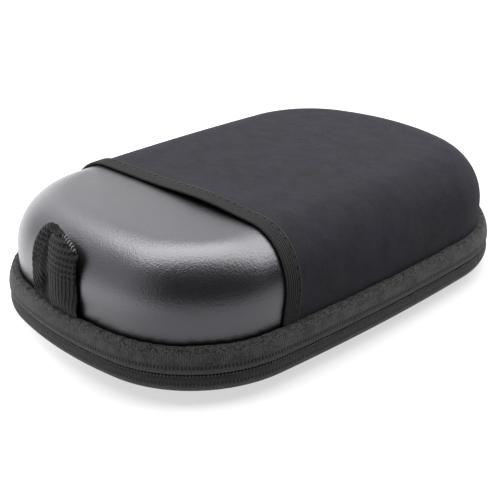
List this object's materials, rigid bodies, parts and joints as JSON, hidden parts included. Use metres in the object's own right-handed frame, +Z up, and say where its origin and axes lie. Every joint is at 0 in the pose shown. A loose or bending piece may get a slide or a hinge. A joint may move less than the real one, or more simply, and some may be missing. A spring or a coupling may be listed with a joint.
{
  "type": "launch monitor carry case",
  "caption": "Zip-up moulded hard case for a golf launch monitor: deep hinged lid with a stretch pocket and webbing loop, shallow tray with a foam insert.",
  "frame": {"origin": "centre of the flat sole, on the surface that the case stands on", "axes": "+X along the length towards the zipper sliders, +Y towards the fabric hinge, +Z up"},
  "size_m": [0.24, 0.1639, 0.059],
  "materials": {
    "moulded_skin": "soft-touch moulded skin, fine grain, satin",
    "stretch_fabric": "matt charcoal stretch knit",
    "elastic_binding": "ribbed black elastic",
    "band_fabric": "finely ribbed black zipper tape",
    "webbing": "woven black webbing",
    "thread": "black sewing thread",
    "base_fabric": "black woven outer fabric",
    "shell_foam": "moulded closed-cell foam",
    "insert_foam": "moulded foam with flocked face",
    "lining": "brushed grey-black lining",
    "mesh": "open black mesh",
    "seam_binding": "black grosgrain seam binding",
    "coil": "black nylon coil",
    "slider_metal": "black painted die-cast metal",
    "pull_rubber": "soft black moulded sleeve"
  },
  "bodies": {
    "base": {"base_skin": "base_fabric", "base_shell": "shell_foam", "base_lining": "lining", "lower_zipper_tape": "band_fabric", "base_inner_binding": "seam_binding", "foam_insert": "insert_foam", "lower_zipper_coil": "coil", "lower_zipper_stops": "slider_metal", "lower_hinge_tape": "band_fabric", "lower_hinge_lining": "seam_binding"},
    "lid": {"lid_skin": "moulded_skin", "lid_shell": "shell_foam", "lid_lining": "lining", "stretch_pocket": "stretch_fabric", "pocket_binding": "elastic_binding", "upper_zipper_tape": "band_fabric", "lid_inner_binding": "seam_binding", "mesh_pocket": "mesh", "mesh_pocket_trim": "elastic_binding", "upper_zipper_coil": "coil", "upper_zipper_stops": "slider_metal", "upper_hinge_tape": "band_fabric", "upper_hinge_lining": "seam_binding"},
    "carry_loop": {"webbing_loop": "webbing"},
    "right_slider_body": {"right_slider": "slider_metal"},
    "right_pull": {"right_pull_tab": "slider_metal", "right_pull_sleeve": "pull_rubber"},
    "left_slider_body": {"left_slider": "slider_metal"},
    "left_pull": {"left_pull_tab": "slider_metal", "left_pull_sleeve": "pull_rubber"}
  },
  "joints": [
    {"name": "lid_hinge", "type": "hinge", "parent": "base", "child": "lid", "pos_m": [0, 0.0824, 0.012], "axis": [-1, 0, 0], "range_deg": [0, 110]},
    {"name": "loop_swing", "type": "hinge", "parent": "lid", "child": "carry_loop", "pos_m": [-0.1162, 0.0055, 0.0242], "axis": [0, -1, 0], "range_deg": [0, 75]},
    {"name": "right_slider_slide", "type": "slide", "parent": "base", "child": "right_slider_body", "axis": [-0.1161, 0.9932, 0], "range_m": [0, 0.014]},
    {"name": "left_slider_slide", "type": "slide", "parent": "base", "child": "left_slider_body", "axis": [-0.1161, -0.9932, 0], "range_m": [0, 0.014]},
    {"name": "right_pull_swing", "type": "hinge", "parent": "right_slider_body", "child": "right_pull", "pos_m": [0.12071, 0.00361, 0.012], "axis": [0, 0, -1], "range_deg": [0, 80]},
    {"name": "left_pull_swing", "type": "hinge", "parent": "left_slider_body", "child": "left_pull", "pos_m": [0.12071, -0.00361, 0.012], "axis": [0, 0, 1], "range_deg": [0, 80]}
  ]
}
